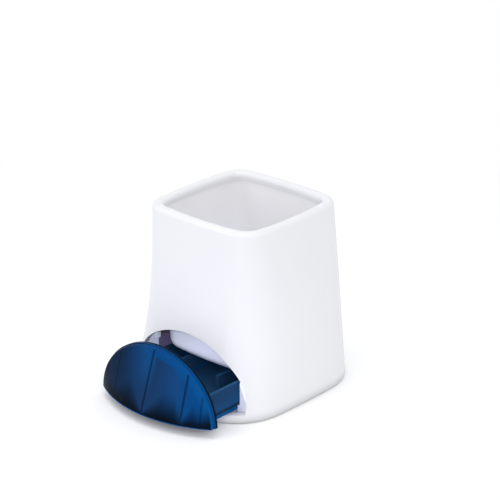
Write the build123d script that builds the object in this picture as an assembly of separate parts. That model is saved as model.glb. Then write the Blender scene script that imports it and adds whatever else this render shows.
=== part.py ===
"""Pen holder with a drawer: a flared cup on a bowed, rounded base, with an arched drawer at its front."""
import os
from math import sqrt

from build123d import *

# Body outline
height = 100.0
top_corner = 35.9
side_spread = 10.0
front_flare = 12.1
flare_power = 4
side_bow = 2.4
base_bow = 10.7
bow_power = 2
top_radius = 13.1
base_radius = 31.3
body_wall = 3.0
foot_round = 2.0
section_shares = (0, 0.2, 0.4, 0.6, 0.8, 1)

# Rim
rim_width = 5.7
rim_depth = 4.6
rim_round = 2.7

# Arched opening
opening_margin = 6.1
opening_rise = 33.8
opening_sill = 4.7
sill_round = 1.6

# Drawer: half-moon plate and stepped trough
pulled_out = 19.4
plate_gap = 0.6
plate_thickness = 2.0
plate_reveal = 0.5
sill_clearance = 0.4
guide_width = 5.8
flange_width = 1.5
shoulder_clearance = 0.95
tray_wall = 1.8
tray_lift = 2.1
flange_lift = 3.0
tray_low_top = 14.2
tray_tall_length = 23.2
tray_rear_room = 13.9
tray_rear_radius = 4.0
divider_share = 0.41
divider_thickness = 2.0
divider_top = 16.1
divider_start = 27.2
tab_length = 3.0
tab_catch = 2.1

# Drawer pull
pull_reveal = 0.5
pull_band = 2.2
pull_reach = 11.5
pull_wall = 1.7
crease_round = 1.8
rib_shares = (-0.85, -0.6, 0, 0.6, 0.85)
rib_thickness = 1.5
peg_shares = (-0.6, 0.6)
peg_radius = 1.6
peg_length = 3.2
peg_low = 11.0
peg_high = 24.0
peg_clearance = 0.15

# Pen well
cup_wall = 1.8
cup_floor = 2.0
cup_clearance = 1.1
cup_draft = 1.0
cup_base_bow = 2.0
cup_base_radius = 10.0
cup_outer_round = 6.0
cup_inner_round = 4.4

# Base cover
cover_thickness = 3.0
cover_clearance = 0.25
nose_back = 2.7
nose_inset = 0.4
runner_clearance = 0.4
runner_gap = 0.2
runner_rear = 26.0
guide_wall = 2.0
guide_depth = 14.2
guide_rise = 4.0
catch_width = 1.8
catch_gap = 0.6
stop_height = 9.0
stop_thickness = 2.4
stop_clearance = 0.6

# Arc of a half ellipse, in degrees
half_turn = 180

# One overrun for every cut
overrun = 6.0

# Levels and widths that fit each other
base_half_width = top_corner + side_spread
opening_half_width = base_half_width - opening_margin
opening_crown = opening_sill + opening_rise
plate_half_width = opening_half_width - plate_reveal
plate_bottom = opening_sill + sill_clearance
tray_half_width = opening_half_width - guide_width
keel_half_width = tray_half_width - flange_width
shoulder_rise = opening_rise * sqrt(opening_half_width**2 - tray_half_width**2) / opening_half_width
shoulder = opening_sill + shoulder_rise
tray_bottom = cover_thickness + tray_lift
tray_step = tray_bottom + flange_lift
tray_top = shoulder - shoulder_clearance
well_level = height - rim_depth
cup_bottom = divider_top + cup_clearance
cup_base_corner = top_corner - rim_width - cup_draft


def body_drop(level):
    """Share of the height below the rim."""
    return (height - level) / height


def front_corner(level):
    """Depth of the front corners, which sweep forward near the base."""
    return top_corner + front_flare * body_drop(level) ** flare_power


def front_bow(level):
    """Bow of the front, which grows towards the base."""
    return side_bow + (base_bow - side_bow) * body_drop(level) ** bow_power


def bowed_square(side, front, bow, middle_bow, radius, level):
    """Outline with bowed sides, a front of its own depth and bow, and rounded corners, at one height."""
    middle = (side - front) / 2
    right_side = ThreePointArc((side, -front), (side + bow, middle), (side, side))
    rear_side = ThreePointArc((side, side), (0, side + bow), (-side, side))
    left_side = ThreePointArc((-side, side), (-side - bow, middle), (-side, -front))
    front_side = ThreePointArc((-side, -front), (0, -front - middle_bow), (side, -front))
    outline = make_face([right_side, rear_side, left_side, front_side])
    outline = fillet(outline.vertices(), radius)
    return Plane.XY.offset(level) * outline


def body_outline(level, inset):
    """Body outline at one height: it widens and rounds off downwards."""
    side = top_corner + side_spread * body_drop(level) - inset
    front = front_corner(level) - inset
    radius = top_radius + (base_radius - top_radius) * body_drop(level) - inset
    return bowed_square(side, front, side_bow, front_bow(level), radius, level)


def body_solid(inset, top):
    """The body's outline lofted from the desk up to one height."""
    return loft([body_outline(top * share, inset) for share in section_shares])


def half_moon(half_width, rise, level):
    """Half ellipse standing on its own straight side, in the front plane."""
    crown = EllipticalCenterArc((0, level), half_width, rise, start_angle=0, arc_size=half_turn)
    chord = Line((-half_width, level), (half_width, level))
    return make_face([crown, chord])


def arch_face(half_width, rise, spring, foot):
    """Half ellipse standing on two short upright sides, in the front plane."""
    crown = EllipticalCenterArc((0, spring), half_width, rise, start_angle=0, arc_size=half_turn)
    feet = Polyline((-half_width, spring), (-half_width, foot), (half_width, foot), (half_width, spring))
    return make_face([crown, feet])


def front_prism(face, near, far):
    """A face of the front plane drawn out from one depth to another, both measured towards the front."""
    return extrude(Plane.XZ.offset(near) * face, far - near)


def edges_at(solid, level):
    """Edges that lie flat at one height."""
    return solid.edges().filter_by_position(Axis.Z, level, level)


def cup_block(inset, level):
    """The pen well's taper, from a square foot at one height up to the rim's underside."""
    corner = cup_base_corner - inset
    foot = bowed_square(corner, corner, cup_base_bow, cup_base_bow, cup_base_radius - inset, level)
    return loft([foot, body_outline(well_level, rim_width - cup_wall + inset)])


# Depths along the drawer's way, measured towards the front
plate_closed = front_corner(opening_crown) + front_bow(opening_crown) + plate_gap
plate_back = plate_closed + pulled_out
plate_front = plate_back + plate_thickness
guide_back = plate_closed - guide_depth
tray_rear = base_half_width - tray_rear_room - pulled_out
front_limit = plate_back

# Body shell: skirt, rim, and opening with a rounded sill
skirt = body_solid(0, height)
skirt = fillet(edges_at(skirt, 0), foot_round)
skirt = fillet(edges_at(skirt, height), rim_round)
cavity = body_solid(body_wall, well_level)
well_top = body_outline(height, rim_width)
well = extrude(well_top, overrun) + extrude(well_top, -rim_depth - overrun)
opening = half_moon(opening_half_width, opening_rise, opening_sill)
body_shell = skirt - cavity - well
body_shell = fillet(edges_at(body_shell, height), rim_round)
body_shell = body_shell - front_prism(opening, guide_back, front_limit)
sill_edge = edges_at(body_shell, opening_sill).sort_by(Axis.Y)[0]
body_shell = fillet(sill_edge, sill_round)

# Pen well under the rim
cup_outside = fillet(edges_at(cup_block(0, cup_bottom), cup_bottom), cup_outer_round)
cup_inside = cup_block(cup_wall, cup_bottom + cup_floor)
cup_inside = fillet(edges_at(cup_inside, cup_bottom + cup_floor), cup_inner_round)
pen_cup = cup_outside - cup_inside


def trough_outline(inset, step, bottom):
    """Cross-section of the trough: a narrow keel below and a wider flange above."""
    return make_face(
        Polyline(
            (-tray_half_width + inset, tray_top),
            (-tray_half_width + inset, step),
            (-keel_half_width + inset, step),
            (-keel_half_width + inset, bottom),
            (keel_half_width - inset, bottom),
            (keel_half_width - inset, step),
            (tray_half_width - inset, step),
            (tray_half_width - inset, tray_top),
            close=True,
        )
    )


# Drawer tray: trough with a low rear part, rear wall, dividers and stop tabs
trough_outside = trough_outline(0, tray_step, tray_bottom)
trough_inside = trough_outline(tray_wall, tray_step + tray_wall, tray_bottom + tray_wall)
drawer_tray = front_prism(trough_outside - trough_inside, -tray_rear, plate_back)
drawer_tray = drawer_tray + front_prism(trough_outside, -tray_rear, tray_wall - tray_rear)
low_part = Pos(0, tray_tall_length - plate_back, tray_low_top) * Box(
    tray_half_width * 2, height, height, align=(Align.CENTER, Align.MIN, Align.MIN)
)
drawer_tray = drawer_tray - low_part
divider_length = plate_back - divider_start + tray_rear
for side in (-1, 1):
    divider = Pos(side * tray_half_width * divider_share, tray_rear, tray_bottom) * Box(
        divider_thickness,
        divider_length,
        divider_top - tray_bottom,
        align=(Align.CENTER, Align.MAX, Align.MIN),
    )
    tab = Pos(side * (tray_half_width - tray_wall / 2), tray_rear - tray_rear_radius, tray_step) * Box(
        tray_wall,
        tab_length,
        shoulder + tab_catch - tray_step,
        align=(Align.CENTER, Align.MAX, Align.MIN),
    )
    drawer_tray = drawer_tray + divider + tab
tray_plan = make_face(
    Polyline(
        (-tray_half_width, -plate_back),
        (tray_half_width, -plate_back),
        (tray_half_width, tray_rear),
        (-tray_half_width, tray_rear),
        close=True,
    )
)
tray_plan = fillet(tray_plan.vertices().group_by(Axis.Y)[-1], tray_rear_radius)
drawer_tray = drawer_tray & extrude(tray_plan, height)

# Half-moon plate across the tray's front, with holes for the pull's pegs
plate_face = half_moon(plate_half_width, opening_rise, plate_bottom)
drawer_tray = drawer_tray + front_prism(plate_face, plate_back, plate_front)
peg_points = [(plate_half_width * share, level) for share in peg_shares for level in (peg_low, peg_high)]
pegs = Sketch() + [Pos(*point) * Circle(peg_radius) for point in peg_points]
peg_holes = Sketch() + [Pos(*point) * Circle(peg_radius + peg_clearance) for point in peg_points]
drawer_tray = drawer_tray - front_prism(peg_holes, plate_back - overrun, plate_front + overrun)


def pull_block(inset):
    """Half moon with a short band, and a front that leans out from a soft crease to a bowed lip."""
    half_width = plate_half_width - pull_reveal - inset
    rise = opening_rise - pull_reveal - inset
    band_front = plate_front + pull_band
    lip = band_front + pull_reach - inset
    left_tip = (-half_width, -band_front, plate_bottom)
    right_tip = (half_width, -band_front, plate_bottom)
    crown_arc = EllipticalCenterArc((0, plate_bottom), half_width, rise, start_angle=0, arc_size=half_turn)
    crown = Plane.XZ.offset(band_front) * crown_arc
    lip_arc = ThreePointArc(right_tip, (0, -lip, plate_bottom), left_tip)
    chord = Line(left_tip, right_tip)
    lean = Face.make_surface_from_curves(crown.edge(), lip_arc.edge())
    sole = Face(Wire([lip_arc.edge(), chord.edge()]))
    rear = Face(Wire([crown.edge(), chord.edge()]))
    bulge = Solid(Shell([lean, sole, rear]))
    block = front_prism(half_moon(half_width, rise, plate_bottom), plate_front, band_front) + bulge
    crease = block.edges().filter_by_position(Axis.Y, -band_front, -band_front)
    return fillet(crease, crease_round)


# Drawer pull: hollow half-moon shell with ribs, and pegs on two of the ribs
pull_outside = pull_block(0)
drawer_front = pull_outside - pull_block(pull_wall)
for share in rib_shares:
    rib = Pos(plate_half_width * share, -plate_front, plate_bottom) * Box(
        rib_thickness, height, height, align=(Align.CENTER, Align.MAX, Align.MIN)
    )
    drawer_front = drawer_front + (rib & pull_outside)
drawer_front = drawer_front + front_prism(pegs, plate_front - peg_length, plate_front + pull_band)

# Base cover: plate, runners that fill the opening beside the tray, guide walls with catches, and back stop
cover_space = body_solid(body_wall + cover_clearance, well_level)
mouth_face = half_moon(
    opening_half_width - cover_clearance, opening_rise - cover_clearance, opening_sill + cover_clearance
)
mouth = front_prism(mouth_face, guide_back, front_limit) & body_solid(nose_inset, well_level)
runner_outline = arch_face(
    opening_half_width - cover_clearance, opening_rise - cover_clearance, opening_sill, cover_thickness
)
keel_way = Pos(0, cover_thickness) * Rectangle(
    (keel_half_width + runner_clearance) * 2, height, align=(Align.CENTER, Align.MIN)
)
flange_way = Pos(0, tray_step - runner_gap) * Rectangle(
    (tray_half_width + runner_clearance) * 2, height, align=(Align.CENTER, Align.MIN)
)
runner_profile = runner_outline - keel_way - flange_way
base_plate = extrude(body_outline(0, 0), cover_thickness)
base_plate = base_plate + front_prism(runner_profile, -runner_rear, plate_closed - nose_back)
guide_inside = tray_half_width + runner_clearance
guide_height = shoulder + guide_rise - cover_thickness
catch_height = shoulder + guide_rise - tray_top - catch_gap
for side in (-1, 1):
    guide = Pos(side * (guide_inside + guide_wall / 2), -guide_back, cover_thickness) * Box(
        guide_wall, guide_depth - nose_back, guide_height, align=(Align.CENTER, Align.MAX, Align.MIN)
    )
    catch = Pos(side * (guide_inside - catch_width / 2), -guide_back, tray_top + catch_gap) * Box(
        catch_width, catch_width, catch_height, align=(Align.CENTER, Align.MAX, Align.MIN)
    )
    base_plate = base_plate + guide + catch
back_stop = Pos(0, tray_rear + pulled_out + stop_clearance, cover_thickness) * Box(
    keel_half_width, stop_thickness, stop_height, align=(Align.CENTER, Align.MIN, Align.MIN)
)
base_plate = base_plate + back_stop
base_plate = base_plate & (cover_space + mouth)

os.makedirs("parts", exist_ok=True)
export_step(body_shell, "parts/body_shell.step")
export_step(pen_cup, "parts/pen_cup.step")
export_step(base_plate, "parts/base_plate.step")
export_step(drawer_tray, "parts/drawer_tray.step")
export_step(drawer_front, "parts/drawer_front.step")
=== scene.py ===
import math

import bpy
from mathutils import Matrix, Vector


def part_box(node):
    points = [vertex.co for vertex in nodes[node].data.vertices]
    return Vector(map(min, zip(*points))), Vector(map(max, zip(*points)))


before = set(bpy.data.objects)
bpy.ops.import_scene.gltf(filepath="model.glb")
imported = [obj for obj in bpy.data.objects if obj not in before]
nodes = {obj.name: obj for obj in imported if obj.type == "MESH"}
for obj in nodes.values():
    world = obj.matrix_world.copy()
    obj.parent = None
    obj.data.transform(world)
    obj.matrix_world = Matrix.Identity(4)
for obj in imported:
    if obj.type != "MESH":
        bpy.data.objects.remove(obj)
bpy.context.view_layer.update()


# Places on the drawer at rest, in metres

tray_low, tray_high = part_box("drawer_tray")
DRAWER_FOOT = tray_low.z
PLATE_HALF = tray_high.x
PLATE_THICKNESS = 0.0020
PLATE_FRONT = tray_low.y
PLATE_BACK = PLATE_FRONT + PLATE_THICKNESS
PULL_BAND = 0.0022
BAND_FRONT = PLATE_FRONT - PULL_BAND


# Borders of colour and of painted light and shade, in metres

def border(place, start, full):
    """Where the next colour starts and where it is full, measured from a place."""
    return place + start, place + full


FOOT_SHADE_RISE = (0.0, 0.006)
DEEP_SHADE_BORDER = (-0.0296, -0.0292)
SKIN_RISE = border(DRAWER_FOOT, 0.0049, 0.0289)
WIDE_HIGHLIGHT_BORDER = border(BAND_FRONT, -0.00163, -0.00083)
BAND_HIGHLIGHT_BORDER = border(BAND_FRONT, -0.00003, 0.00027)
LIP_HIGHLIGHT_BORDER = border(DRAWER_FOOT, 0.0006, 0.0002)
POCKET_SHADE_TOPS = border(DRAWER_FOOT, 0.0015, 0.0175)
SIDE_RISE = border(DRAWER_FOOT, 0.0049, 0.0129)
FLANGE_BORDER = border(DRAWER_FOOT, 0.0045, 0.0051)
KEEL_BORDER = border(DRAWER_FOOT, 0.0029, 0.0031)
PLATE_EDGE_BORDER = border(PLATE_BACK, -0.00005, -0.00013)
PLATE_RIM_BORDER = border(PLATE_FRONT, 0.00057, 0.00037)

# How far a face of the tray turns up before it takes the painted light of the inside, as shares
FACING_UP_SHARES = (0.4, 0.6)


# Colours, among them painted light and shade

WHITE = (1.0, 1.0, 1.0)
BLACK = (0.0, 0.0, 0.0)
SHELL_PALE = (0.835, 0.835, 0.85)
SHELL_DIM = (0.82, 0.82, 0.84)
# Painted shade on the shell's rounded foot, darker towards the bottom
SHELL_FOOT_SHADE = (0.60, 0.60, 0.61)
CUP_PALE = (0.93, 0.925, 0.935)
CUP_DIM = (0.915, 0.91, 0.92)
BASE_PALE = (0.81, 0.81, 0.85)
BASE_DIM = (0.79, 0.79, 0.83)
# Painted shade on the base's foot, darker towards the bottom
BASE_FOOT_SHADE = (0.70, 0.70, 0.74)
# Painted shade on the base plate's deep inside, where the white plastic lies unlit
BASE_DEEP_SHADE = (0.155, 0.118, 0.20)
# Painted light and shade on the blue pull, from its dark left to its bright right
PULL_LEFT = (0.001, 0.010, 0.030)
PULL_DIM = (0.004, 0.024, 0.075)
PULL_MIDDLE = (0.009, 0.042, 0.128)
PULL_LIGHT = (0.007, 0.064, 0.216)
PULL_UPPER = (0.005, 0.068, 0.225)
PULL_BRIGHT = (0.001, 0.068, 0.250)
# Painted shade in the pockets over the lip
POCKET_SHADE = (0.0005, 0.004, 0.008)
# Painted highlight on the pull's rims and along its lip
RIM_HIGHLIGHT = (0.002, 0.088, 0.305)
# Painted light that brightens the tray's shaded inside and its upturned faces
INSIDE_PAINTED_LIGHT = (0.027, 0.096, 0.213)
# Painted shading on the tray's outer sides, lighter towards the bottom
SIDE_HIGH = (0.005, 0.037, 0.118)
SIDE_LOW = (0.004, 0.062, 0.205)
# Painted light on the thin keel
KEEL_PAINTED_LIGHT = (0.004, 0.11, 0.34)
# Painted shade, near black, on the flange line and the half-moon plate's edge
EDGE_SHADE = (0.002, 0.008, 0.020)


# Painted light and shade across the drawer, dark on the left and bright on the right: places in
# millimetres from its middle, left to right

SIDE = PLATE_HALF * 1000
RIGHT_TONES = [(18, PULL_LIGHT), (27, PULL_BRIGHT), (SIDE, PULL_BRIGHT)]
LOWER_TONES = [(-SIDE, PULL_LEFT), (-20, PULL_DIM), (-2, PULL_MIDDLE), (5, PULL_MIDDLE)] + RIGHT_TONES
UPPER_TONES = [
    (-SIDE, PULL_LEFT), (-20, PULL_DIM), (-4, PULL_UPPER), (1, PULL_UPPER), (4, PULL_MIDDLE),
] + RIGHT_TONES
# Painted highlight on the rims, dark on the left and bright on the right
RIM_HIGHLIGHT_TONES = [(-SIDE, PULL_LEFT), (-20, PULL_DIM), (-6, PULL_UPPER), (4, PULL_BRIGHT), (SIDE, RIM_HIGHLIGHT)]

# Ribs behind the skin, painted as lines of shade, with the share of light that each leaves, and the half
# widths of their dark lines
OUTER_RIB = 33.4
INNER_RIB = 23.6
RIB_SHARES = ((-OUTER_RIB, 0.7), (-INNER_RIB, 0.6), (0, 0.35), (INNER_RIB, 0.35), (OUTER_RIB, 0.6))
RIB_CORE = 0.3
RIB_SOFT = 0.8

# Heights of the painted shade in the pockets over the lip, as shares between its lowest and highest tops
POCKET_SHADE_SHARES = (
    (-SIDE, 0.2), (-OUTER_RIB, 0.2), (-28.5, 0.6), (-INNER_RIB, 0.4), (-12, 1.0), (-2, 0.2), (0, 0.0),
    (4, 0.3), (11, 1.0), (19, 0.95), (22.8, 0.4), (INNER_RIB, 0.05), (25, 0.3), (29, 0.8),
    (OUTER_RIB, 0.5), (37, 0.9), (SIDE, 0.9),
)

# Where the tray's outer faces begin
TRAY_SIDE = 33.8
TRAY_SIDE_FULL = 33.9


# Helpers for shader trees

DIM_SHARE = 0.3
PALE_SHARE = 0.7


def new_material(name):
    material = bpy.data.materials.new(name)
    material.use_nodes = True
    tree = material.node_tree
    tree.nodes.clear()
    out = tree.nodes.new("ShaderNodeOutputMaterial")
    shader = tree.nodes.new("ShaderNodeBsdfPrincipled")
    tree.links.new(shader.outputs["BSDF"], out.inputs["Surface"])
    return material, tree, shader, out


def noise(tree, scale, detail=2.0):
    """Noise in the object's own coordinates."""
    place = tree.nodes.new("ShaderNodeTexCoord")
    texture = tree.nodes.new("ShaderNodeTexNoise")
    texture.inputs["Scale"].default_value = scale
    texture.inputs["Detail"].default_value = detail
    tree.links.new(place.outputs["Object"], texture.inputs["Vector"])
    return texture.outputs["Fac"]


def ramp(tree, factor, stops):
    """A colour ramp with (place, colour) stops."""
    node = tree.nodes.new("ShaderNodeValToRGB")
    elements = node.color_ramp.elements
    while len(elements) < len(stops):
        elements.new(0.5)
    for element, (place, colour) in zip(elements, stops):
        element.position = place
        element.color = (*colour, 1.0)
    tree.links.new(factor, node.inputs["Fac"])
    return node.outputs["Color"]


def cloud(tree, scale, dim, pale, detail=2.0):
    """Faint patches that go from dim to pale."""
    return ramp(tree, noise(tree, scale, detail), [(DIM_SHARE, dim), (PALE_SHARE, pale)])


def spread(tree, factor, low, high):
    """Maps a 0 to 1 factor to a range of values."""
    node = tree.nodes.new("ShaderNodeMapRange")
    node.inputs["To Min"].default_value = low
    node.inputs["To Max"].default_value = high
    tree.links.new(factor, node.inputs["Value"])
    return node.outputs["Result"]


def coordinates(tree, kind="Object"):
    """The x, y and z of the object's own place or normal."""
    place = tree.nodes.new("ShaderNodeTexCoord")
    split = tree.nodes.new("ShaderNodeSeparateXYZ")
    tree.links.new(place.outputs[kind], split.inputs["Vector"])
    return split.outputs["X"], split.outputs["Y"], split.outputs["Z"]


def step(tree, value, low, high, soft=True):
    """Step from 0 at the low value to 1 at the high value, soft or straight."""
    node = tree.nodes.new("ShaderNodeMapRange")
    node.interpolation_type = "SMOOTHSTEP" if soft else "LINEAR"
    for socket, limit in (("From Min", low), ("From Max", high)):
        if hasattr(limit, "is_linked"):
            tree.links.new(limit, node.inputs[socket])
        else:
            node.inputs[socket].default_value = limit
    tree.links.new(value, node.inputs["Value"])
    return node.outputs["Result"]


def blend(tree, factor, first, second):
    """Colour that goes from the first to the second with the factor."""
    node = tree.nodes.new("ShaderNodeMix")
    node.data_type = "RGBA"
    tree.links.new(factor, node.inputs["Factor"])
    for socket, colour in (("A", first), ("B", second)):
        inlet = [i for i in node.inputs if i.name == socket and i.type == "RGBA"][0]
        if hasattr(colour, "is_linked"):
            tree.links.new(colour, inlet)
        else:
            inlet.default_value = (*colour, 1.0)
    return [o for o in node.outputs if o.type == "RGBA"][0]


def multiply(tree, first, second):
    """One colour darkened by another."""
    node = tree.nodes.new("ShaderNodeVectorMath")
    node.operation = "MULTIPLY"
    tree.links.new(first, node.inputs[0])
    tree.links.new(second, node.inputs[1])
    return node.outputs["Vector"]


def combine(tree, operation, first, second):
    """Two numbers joined by one operation."""
    node = tree.nodes.new("ShaderNodeMath")
    node.operation = operation
    tree.links.new(first, node.inputs[0])
    tree.links.new(second, node.inputs[1])
    return node.outputs["Value"]


def mix_shaders(tree, factor, first, second, out):
    node = tree.nodes.new("ShaderNodeMixShader")
    tree.links.new(factor, node.inputs["Fac"])
    tree.links.new(first, node.inputs[1])
    tree.links.new(second, node.inputs[2])
    tree.links.new(node.outputs["Shader"], out.inputs["Surface"])


def bump(tree, shader, factor, strength, distance):
    node = tree.nodes.new("ShaderNodeBump")
    node.inputs["Strength"].default_value = strength
    node.inputs["Distance"].default_value = distance
    tree.links.new(factor, node.inputs["Height"])
    tree.links.new(node.outputs["Normal"], shader.inputs["Normal"])


# Plastics

def grey(level):
    return level, level, level


def share_of(millimetres):
    """Place across the drawer as a share of its width."""
    return (millimetres + SIDE) / (2 * SIDE)


def across_drawer(tree, stops):
    """Colour ramp across the drawer, with places in millimetres from its middle."""
    x, _, _ = coordinates(tree)
    across = step(tree, x, -PLATE_HALF, PLATE_HALF, soft=False)
    return ramp(tree, across, [(share_of(at), colour) for at, colour in stops])


def white_plastic(name, pale, dim, foot_shade, deep_shade=None):
    """Satin moulded plastic with faint flow marks in colour and gloss, a very fine skin and painted shade
    on the foot, darker towards the bottom.
    Deep shade is painted shade on what lies far inside."""
    material, tree, shader, _ = new_material(name)
    colour = cloud(tree, scale=22.0, dim=dim, pale=pale, detail=3.0)
    _, y, z = coordinates(tree)
    if deep_shade:
        # Painted shade on the deep inside
        colour = blend(tree, step(tree, y, *DEEP_SHADE_BORDER), colour, deep_shade)
    # Painted shade on the foot: darker towards the bottom
    colour = blend(tree, step(tree, z, *FOOT_SHADE_RISE), foot_shade, colour)
    tree.links.new(colour, shader.inputs["Base Color"])
    gloss = spread(tree, noise(tree, scale=60.0), low=0.30, high=0.42)
    tree.links.new(gloss, shader.inputs["Roughness"])
    shader.inputs["IOR"].default_value = 1.48
    bump(tree, shader, noise(tree, scale=2600.0), strength=0.04, distance=0.0002)
    return material


def blue_plastic(name, paint):
    """Dark blue plastic that lets a little light through. The paint makes its colour, with painted light
    and shade in it.
    """
    material, tree, shader, _ = new_material(name)
    flow = cloud(tree, scale=30.0, dim=grey(0.92), pale=WHITE)
    tree.links.new(multiply(tree, paint(tree), flow), shader.inputs["Base Color"])
    gloss = spread(tree, noise(tree, scale=90.0), low=0.14, high=0.20)
    tree.links.new(gloss, shader.inputs["Roughness"])
    shader.inputs["IOR"].default_value = 1.3
    shader.inputs["Specular IOR Level"].default_value = 0.02
    shader.inputs["Transmission Weight"].default_value = 0.12
    bump(tree, shader, noise(tree, scale=300.0), strength=0.03, distance=0.0004)
    return material


def rib_shade(tree):
    """Painted shade: dark lines where the ribs stand behind the skin."""
    stops = [(-SIDE, WHITE)]
    for at, light in RIB_SHARES:
        stops += [(at - RIB_SOFT, WHITE), (at - RIB_CORE, grey(light))]
        stops += [(at + RIB_CORE, grey(light)), (at + RIB_SOFT, WHITE)]
    return across_drawer(tree, stops + [(SIDE, WHITE)])


def pull_paint(tree):
    """Colour of the hollow pull with painted light and shade: darker on the left and brighter on the
    right, painted shade of the ribs behind the skin, painted shade in the pockets over the lip and painted
    highlights on the rims and lip.
    """
    _, y, z = coordinates(tree)
    rim_highlight = across_drawer(tree, RIM_HIGHLIGHT_TONES)
    lower = across_drawer(tree, LOWER_TONES)
    upper = across_drawer(tree, UPPER_TONES)
    # Painted light and shade across the pull, a little different in its lower and upper parts
    colour = blend(tree, step(tree, z, *SKIN_RISE), lower, upper)
    # Painted highlight on the wide rim band
    colour = blend(tree, step(tree, y, *WIDE_HIGHLIGHT_BORDER), colour, rim_highlight)
    colour = multiply(tree, colour, rib_shade(tree))
    # Painted shade in the pockets over the lip, its top rising and falling between the ribs
    shares = across_drawer(tree, [(at, grey(share)) for at, share in POCKET_SHADE_SHARES])
    pocket_shade_top = spread(tree, shares, *POCKET_SHADE_TOPS)
    colour = blend(tree, step(tree, z, DRAWER_FOOT, pocket_shade_top), POCKET_SHADE, colour)
    # Painted highlight on the band, over the pocket shade
    colour = blend(tree, step(tree, y, *BAND_HIGHLIGHT_BORDER), colour, rim_highlight)
    # Painted highlight along the lip
    return blend(tree, step(tree, z, *LIP_HIGHLIGHT_BORDER), colour, RIM_HIGHLIGHT)


def tray_paint(tree):
    """Colour of the tray with painted light and shade: painted shade near black on the half-moon plate's
    edge and the flange line, painted light on the thin keel, the inside and the upturned faces, the sides
    lighter towards the bottom, and a painted highlight on the plate's front band.
    """
    _, y, z = coordinates(tree)
    _, _, up = coordinates(tree, "Normal")
    outside = across_drawer(tree, [
        (-SIDE, WHITE), (-TRAY_SIDE_FULL, WHITE), (-TRAY_SIDE, BLACK),
        (TRAY_SIDE, BLACK), (TRAY_SIDE_FULL, WHITE), (SIDE, WHITE),
    ])
    # Painted shading on the sides, lighter towards the bottom
    side = blend(tree, step(tree, z, *SIDE_RISE), SIDE_LOW, SIDE_HIGH)
    # Painted shade on the flange line
    side = blend(tree, step(tree, z, *FLANGE_BORDER), EDGE_SHADE, side)
    # Painted light on the inside
    colour = blend(tree, outside, INSIDE_PAINTED_LIGHT, side)
    # Painted light on the thin keel
    colour = blend(tree, step(tree, z, *KEEL_BORDER), KEEL_PAINTED_LIGHT, colour)
    # Painted light on faces that turn up
    colour = blend(tree, step(tree, up, *FACING_UP_SHARES), colour, INSIDE_PAINTED_LIGHT)
    # The plate: painted highlight on its front band, painted shade on its edge
    plate = blend(tree, step(tree, y, *PLATE_RIM_BORDER), EDGE_SHADE, across_drawer(tree, RIM_HIGHLIGHT_TONES))
    return blend(tree, step(tree, y, *PLATE_EDGE_BORDER), colour, plate)


def dress(node, material):
    slots = nodes[node].data.materials
    slots.clear()
    slots.append(material)


# Floor, background, lamps and camera

FLOOR_SIZE = 6.0
FLOOR_NEAR = 0.16
FLOOR_FAR = 0.36
FLOOR_GLOW = 0.08
IMAGE_SIDE = 500
BODY_LOW = (0, 0, 0.04)
BODY_MIDDLE = (0, 0, 0.05)
ARCH = (0, -0.036, 0.028)
BESIDE_CAMERA = (0.71, -0.83, 0.555)


def seen_rays(tree):
    """1 on camera, glossy and transmission rays, which all see the white background."""
    path = tree.nodes.new("ShaderNodeLightPath").outputs
    seen = combine(tree, "MAXIMUM", path["Is Camera Ray"], path["Is Glossy Ray"])
    return combine(tree, "MAXIMUM", seen, path["Is Transmission Ray"])


def make_floor():
    """Pale floor with the object's shadow, plain white further away."""
    bpy.ops.mesh.primitive_plane_add(size=FLOOR_SIZE, location=(0, 0, 0))
    floor = bpy.context.object
    floor.name = "floor"
    material, tree, shader, out = new_material("floor_white")
    colour = cloud(tree, scale=3.0, dim=grey(0.965), pale=grey(0.975))
    tree.links.new(colour, shader.inputs["Base Color"])
    shader.inputs["Roughness"].default_value = 1.0
    shader.inputs["Specular IOR Level"].default_value = 0.0
    shader.inputs["Emission Color"].default_value = (*grey(FLOOR_GLOW), 1.0)
    seen = seen_rays(tree)
    tree.links.new(seen, shader.inputs["Emission Strength"])
    place = tree.nodes.new("ShaderNodeTexCoord")
    reach = tree.nodes.new("ShaderNodeVectorMath")
    reach.operation = "LENGTH"
    tree.links.new(place.outputs["Object"], reach.inputs[0])
    far = combine(tree, "MULTIPLY", step(tree, reach.outputs["Value"], FLOOR_NEAR, FLOOR_FAR), seen)
    white = tree.nodes.new("ShaderNodeEmission")
    mix_shaders(tree, far, shader.outputs["BSDF"], white.outputs["Emission"], out)
    floor.data.materials.append(material)


def background(tree, colour, strength):
    node = tree.nodes.new("ShaderNodeBackground")
    node.inputs["Color"].default_value = (*colour, 1.0)
    node.inputs["Strength"].default_value = strength
    return node.outputs["Background"]


def make_world():
    """White where it is seen, and a soft dome that lights the object."""
    world = bpy.data.worlds.new("studio")
    bpy.context.scene.world = world
    world.use_nodes = True
    tree = world.node_tree
    tree.nodes.clear()
    out = tree.nodes.new("ShaderNodeOutputWorld")
    dome = background(tree, colour=(0.97, 0.98, 1.0), strength=0.78)
    seen = background(tree, colour=WHITE, strength=1.0)
    mix_shaders(tree, seen_rays(tree), dome, seen, out)


def add_lamp(name, kind, place, aim, power, colour):
    data = bpy.data.lights.new(name, kind)
    data.energy = power
    data.color = colour
    lamp = bpy.data.objects.new(name, data)
    bpy.context.scene.collection.objects.link(lamp)
    lamp.location = place
    lamp.rotation_euler = (Vector(aim) - Vector(place)).to_track_quat("-Z", "Y").to_euler()
    return lamp


def area_light(name, place, aim, size, power, colour):
    lamp = add_lamp(name, "AREA", place, aim, power, colour)
    lamp.data.shape = "SQUARE"
    lamp.data.size = size


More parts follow.
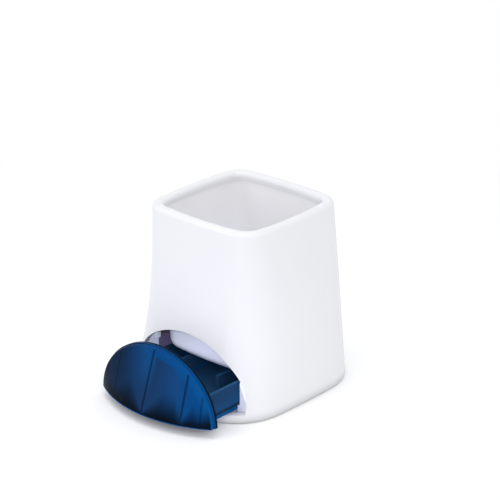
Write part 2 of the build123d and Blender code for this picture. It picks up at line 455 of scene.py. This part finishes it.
def spot_light(name, place, aim, width, power, colour, lit):
    """Soft-edged spot on some of the nodes only, its width in degrees."""
    lamp = add_lamp(name, "SPOT", place, aim, power, colour)
    lamp.data.spot_size = math.radians(width)
    lamp.data.spot_blend = 1.0
    lamp.data.shadow_soft_size = 0.04
    lamp.visible_glossy = False
    receivers = bpy.data.collections.new(name + "_lit")
    for node in lit:
        receivers.objects.link(nodes[node])
    lamp.light_linking.receiver_collection = receivers


def make_camera(azimuth, elevation, distance, focal_pixels, aim_right, aim_up):
    """Camera at the photograph's angle, aimed a little off the body's middle. Angles are in degrees."""
    a, e = math.radians(azimuth), math.radians(elevation)
    back = Vector((math.sin(a) * math.cos(e), -math.cos(a) * math.cos(e), math.sin(e)))
    right = Vector((math.cos(a), math.sin(a), 0))
    up = back.cross(right)
    place = Vector(BODY_MIDDLE) + right * aim_right + up * aim_up + back * distance
    data = bpy.data.cameras.new("camera")
    data.sensor_width = 36.0
    data.lens = focal_pixels / IMAGE_SIDE * data.sensor_width
    data.clip_start = 0.01
    data.clip_end = 20.0
    camera = bpy.data.objects.new("camera", data)
    bpy.context.scene.collection.objects.link(camera)
    turn = Matrix((right, up, back)).transposed().to_4x4()
    camera.matrix_world = Matrix.Translation(place) @ turn
    bpy.context.scene.camera = camera


# The dressed object in its scene

dress("body_shell", white_plastic("shell_white", SHELL_PALE, SHELL_DIM, SHELL_FOOT_SHADE))
dress("pen_cup", white_plastic("cup_white", CUP_PALE, CUP_DIM, CUP_DIM))
dress("base_plate", white_plastic("base_white", BASE_PALE, BASE_DIM, BASE_FOOT_SHADE, BASE_DEEP_SHADE))
dress("drawer_tray", blue_plastic("tray_blue", tray_paint))
dress("drawer_front", blue_plastic("pull_blue", pull_paint))

make_floor()
make_world()
area_light("front", (1.0, -0.75, 0.85), BODY_LOW, size=0.6, power=3.05, colour=(1.0, 0.99, 0.99))
area_light("key", (-0.6, -1.1, 0.8), BODY_LOW, size=0.9, power=2.95, colour=(0.86, 0.88, 1.0))
area_light("top", (0.0, -0.2, 1.6), BODY_MIDDLE, size=1.0, power=5.0, colour=(0.98, 0.98, 1.0))
spot_light(
    "arch", BESIDE_CAMERA, ARCH, width=6.0, power=58.0, colour=(0.70, 0.75, 1.0),
    lit=("pen_cup", "base_plate"),
)
spot_light(
    "fill", BESIDE_CAMERA, ARCH, width=6.0, power=11.0, colour=(0.80, 0.82, 1.0),
    lit=("body_shell", "drawer_tray"),
)
make_camera(
    azimuth=41.78, elevation=22.69, distance=1.11183, focal_pixels=2103.35,
    aim_right=0.00356, aim_up=0.02014,
)

scene = bpy.context.scene
scene.view_settings.view_transform = "Standard"
